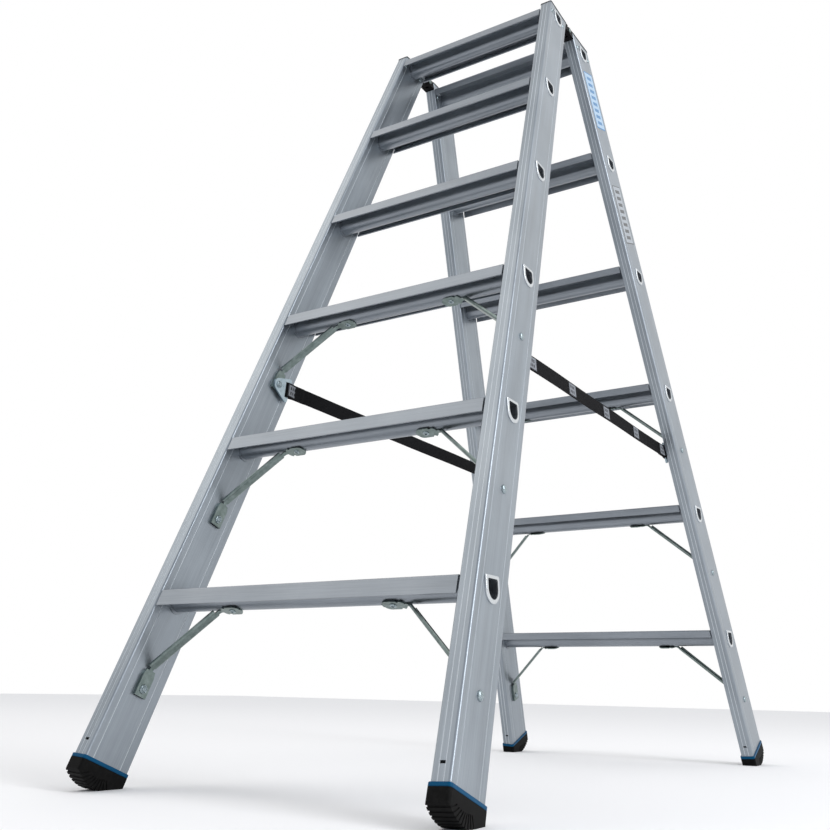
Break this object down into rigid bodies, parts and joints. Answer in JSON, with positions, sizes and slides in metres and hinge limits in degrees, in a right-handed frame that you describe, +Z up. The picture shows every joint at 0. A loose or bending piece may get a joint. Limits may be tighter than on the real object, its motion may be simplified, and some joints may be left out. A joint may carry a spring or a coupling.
{
  "type": "double-sided step ladder",
  "caption": "Double-sided aluminium step ladder: two tapered sections of flat treads with riveted braces, hinged at the top and held open by webbing straps.",
  "frame": {"origin": "on the floor, midway between the four feet", "axes": "+X across the ladder to the right as seen by someone facing the front section, +Y from the front section to the rear section, +Z up"},
  "size_m": [0.5534, 1.242, 1.4292],
  "materials": {
    "extruded_aluminium": "satin mill finish with fine lengthwise streaks",
    "zinc_plated_steel": "bright zinc plating, slightly mottled",
    "rivet_aluminium": "pressed rivet heads, semi-bright",
    "black_hinge": "black coated, semi-matte",
    "black_plastic": "moulded, fine texture",
    "blue_plastic": "moulded, satin",
    "black_rubber": "matte, dusty at the grooves",
    "webbing": "woven webbing with stitched ends",
    "sticker": "plain printed film without text"
  },
  "bodies": {
    "front_section": {"front_right_stile": "extruded_aluminium", "front_right_foot_collar": "blue_plastic", "front_right_foot_sole": "black_rubber", "front_right_brace_1": "zinc_plated_steel", "front_right_brace_2": "zinc_plated_steel", "front_right_brace_3": "zinc_plated_steel", "front_right_strap_bracket": "zinc_plated_steel", "front_right_hinge_leaf": "black_hinge", "front_right_stile_cap": "black_plastic", "front_left_stile": "extruded_aluminium", "front_left_foot_collar": "blue_plastic", "front_left_foot_sole": "black_rubber", "front_left_brace_1": "zinc_plated_steel", "front_left_brace_2": "zinc_plated_steel", "front_left_brace_3": "zinc_plated_steel", "front_left_strap_bracket": "zinc_plated_steel", "front_left_hinge_leaf": "black_hinge", "front_left_stile_cap": "black_plastic", "front_tread_1": "extruded_aluminium", "front_tread_2": "extruded_aluminium", "front_tread_3": "extruded_aluminium", "front_tread_4": "extruded_aluminium", "front_tread_5": "extruded_aluminium", "front_tread_6": "extruded_aluminium", "front_brace_bolts": "zinc_plated_steel", "front_brace_rivets": "rivet_aluminium", "front_hinge_rivets": "rivet_aluminium", "right_strap": "webbing", "left_strap": "webbing", "right_hinge_pin": "zinc_plated_steel", "left_hinge_pin": "zinc_plated_steel"},
    "rear_section": {"rear_right_stile": "extruded_aluminium", "rear_right_foot_collar": "blue_plastic", "rear_right_foot_sole": "black_rubber", "rear_right_brace_1": "zinc_plated_steel", "rear_right_brace_2": "zinc_plated_steel", "rear_right_brace_3": "zinc_plated_steel", "rear_right_strap_bracket": "zinc_plated_steel", "rear_right_hinge_leaf": "black_hinge", "rear_right_stile_cap": "black_plastic", "rear_left_stile": "extruded_aluminium", "rear_left_foot_collar": "blue_plastic", "rear_left_foot_sole": "black_rubber", "rear_left_brace_1": "zinc_plated_steel", "rear_left_brace_2": "zinc_plated_steel", "rear_left_brace_3": "zinc_plated_steel", "rear_left_strap_bracket": "zinc_plated_steel", "rear_left_hinge_leaf": "black_hinge", "rear_left_stile_cap": "black_plastic", "rear_tread_1": "extruded_aluminium", "rear_tread_2": "extruded_aluminium", "rear_tread_3": "extruded_aluminium", "rear_tread_4": "extruded_aluminium", "rear_tread_5": "extruded_aluminium", "rear_tread_6": "extruded_aluminium", "rear_brace_bolts": "zinc_plated_steel", "rear_brace_rivets": "rivet_aluminium", "rear_hinge_rivets": "rivet_aluminium", "rating_labels": "sticker"}
  },
  "joints": [
    {"name": "fold_hinge", "type": "hinge", "parent": "front_section", "child": "rear_section", "pos_m": [0, 0, 1.42066], "axis": [1, 0, 0], "range_deg": [-41, 0], "deforming": ["right_strap", "left_strap"]}
  ]
}
